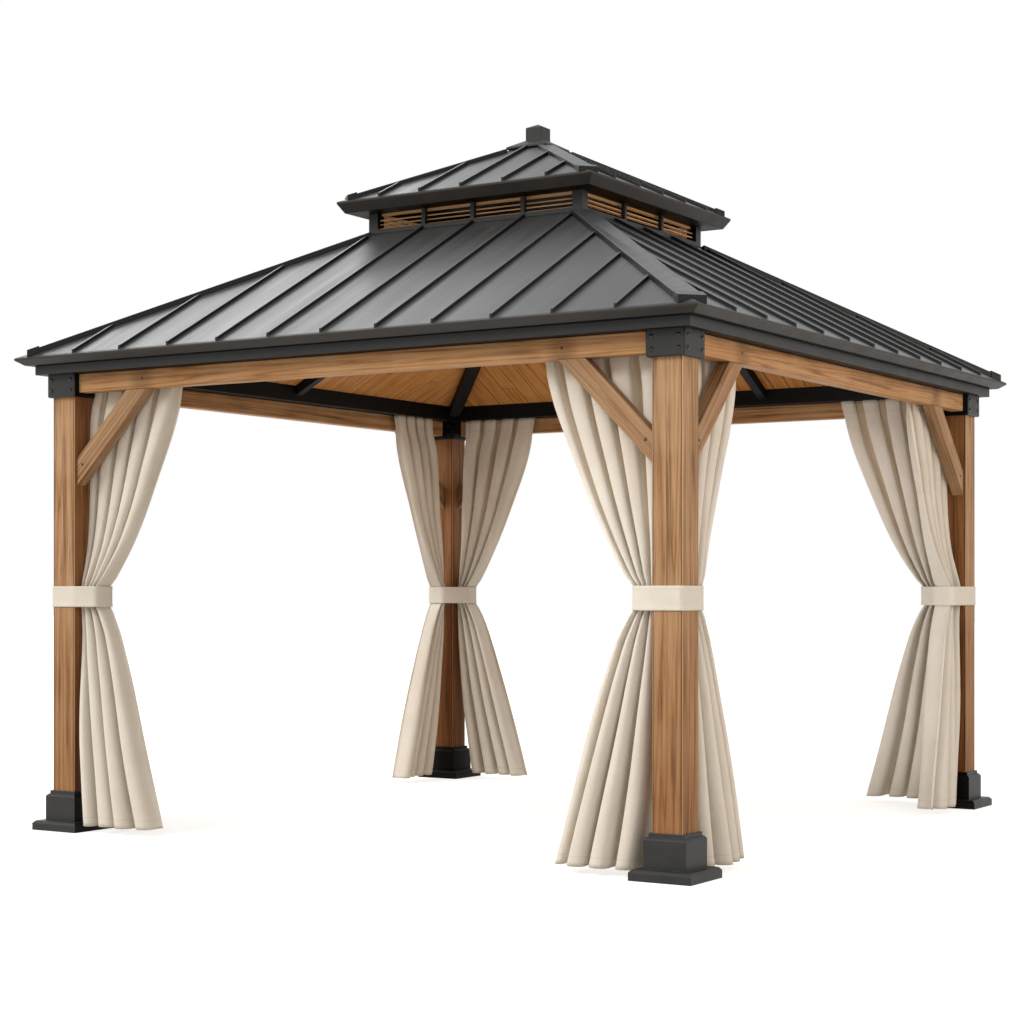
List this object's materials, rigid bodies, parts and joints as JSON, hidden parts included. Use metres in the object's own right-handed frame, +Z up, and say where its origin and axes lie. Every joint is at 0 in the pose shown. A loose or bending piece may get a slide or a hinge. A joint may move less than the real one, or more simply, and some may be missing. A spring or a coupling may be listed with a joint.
{
  "type": "hardtop gazebo",
  "caption": "Square open garden gazebo: timber posts, beams and knee braces, standing-seam metal hip roof with a louvred vent cupola, and tied-back curtains at the posts.",
  "frame": {"origin": "ground level at the centre of the square plan", "axes": "+Z up, -Y towards the front side, +X to the right seen from the front"},
  "size_m": [3.66, 3.66, 3.5172],
  "materials": {
    "frame_wood": "stained satin",
    "ceiling_wood": "stained satin",
    "louvre_wood": "stained satin",
    "roof_sheet": "satin powder coat",
    "roof_trim": "satin powder coat",
    "black_steel": "satin powder coat",
    "curtain_cloth": "woven matt",
    "band_cloth": "woven matt"
  },
  "bodies": {
    "root": {"post_front_right": "frame_wood", "post_back_right": "frame_wood", "post_back_left": "frame_wood", "post_front_left": "frame_wood", "post_base_front_right": "black_steel", "post_base_back_right": "black_steel", "post_base_back_left": "black_steel", "post_base_front_left": "black_steel", "corner_bracket_front_right": "black_steel", "corner_bracket_back_right": "black_steel", "corner_bracket_back_left": "black_steel", "corner_bracket_front_left": "black_steel", "beam_front": "frame_wood", "beam_right": "frame_wood", "beam_back": "frame_wood", "beam_left": "frame_wood", "knee_braces": "frame_wood", "roof_frame_front": "black_steel", "roof_frame_right": "black_steel", "roof_frame_back": "black_steel", "roof_frame_left": "black_steel", "eave_trim_front": "roof_trim", "eave_trim_right": "roof_trim", "eave_trim_back": "roof_trim", "eave_trim_left": "roof_trim", "roof_panel_front": "roof_sheet", "roof_panel_right": "roof_sheet", "roof_panel_back": "roof_sheet", "roof_panel_left": "roof_sheet", "hip_caps": "roof_sheet", "ceiling_lining": "ceiling_wood", "hip_rafters": "black_steel", "common_rafters": "black_steel", "vent_curb": "black_steel", "vent_frame": "black_steel", "vent_louvres": "louvre_wood", "upper_trim": "roof_trim", "upper_roof_panels": "roof_sheet", "upper_hip_caps": "roof_sheet", "finial": "black_steel", "curtain_left_of_front": "curtain_cloth", "curtain_right_of_front": "curtain_cloth", "curtain_left_of_right": "curtain_cloth", "curtain_right_of_right": "curtain_cloth", "curtain_left_of_back": "curtain_cloth", "curtain_right_of_back": "curtain_cloth", "curtain_left_of_left": "curtain_cloth", "curtain_right_of_left": "curtain_cloth", "tie_band_front_right": "band_cloth", "tie_band_back_right": "band_cloth", "tie_band_back_left": "band_cloth", "tie_band_front_left": "band_cloth"}
  },
  "joints": []
}
